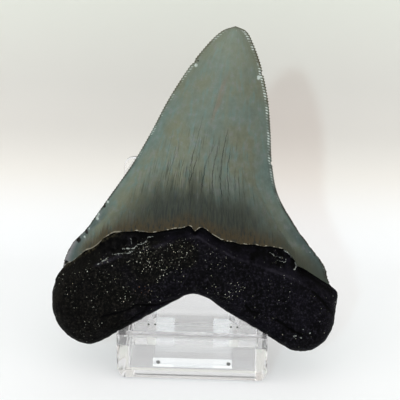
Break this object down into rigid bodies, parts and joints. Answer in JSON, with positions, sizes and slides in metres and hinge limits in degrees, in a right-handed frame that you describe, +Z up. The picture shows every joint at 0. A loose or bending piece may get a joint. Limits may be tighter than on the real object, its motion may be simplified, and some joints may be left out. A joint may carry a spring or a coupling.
{
  "type": "megalodon tooth on a stand",
  "caption": "Fossil megalodon shark tooth with a serrated blade and a forked black root, leaning on a small clear acrylic display stand.",
  "frame": {"origin": "centre of the stand base's underside, on the table", "axes": "+Z up, -Y towards the viewer and the tooth's tongue side, +X to the viewer's right"},
  "size_m": [0.0908, 0.04, 0.1074],
  "materials": {
    "fossil_tooth": "polished grey-green enamel over a porous black root",
    "clear_acrylic": "clear, polished faces and bevelled edges"
  },
  "bodies": {
    "root": {"tooth": "fossil_tooth", "stand_base": "clear_acrylic", "stand_back_plate": "clear_acrylic", "stand_rest": "clear_acrylic"}
  },
  "joints": []
}
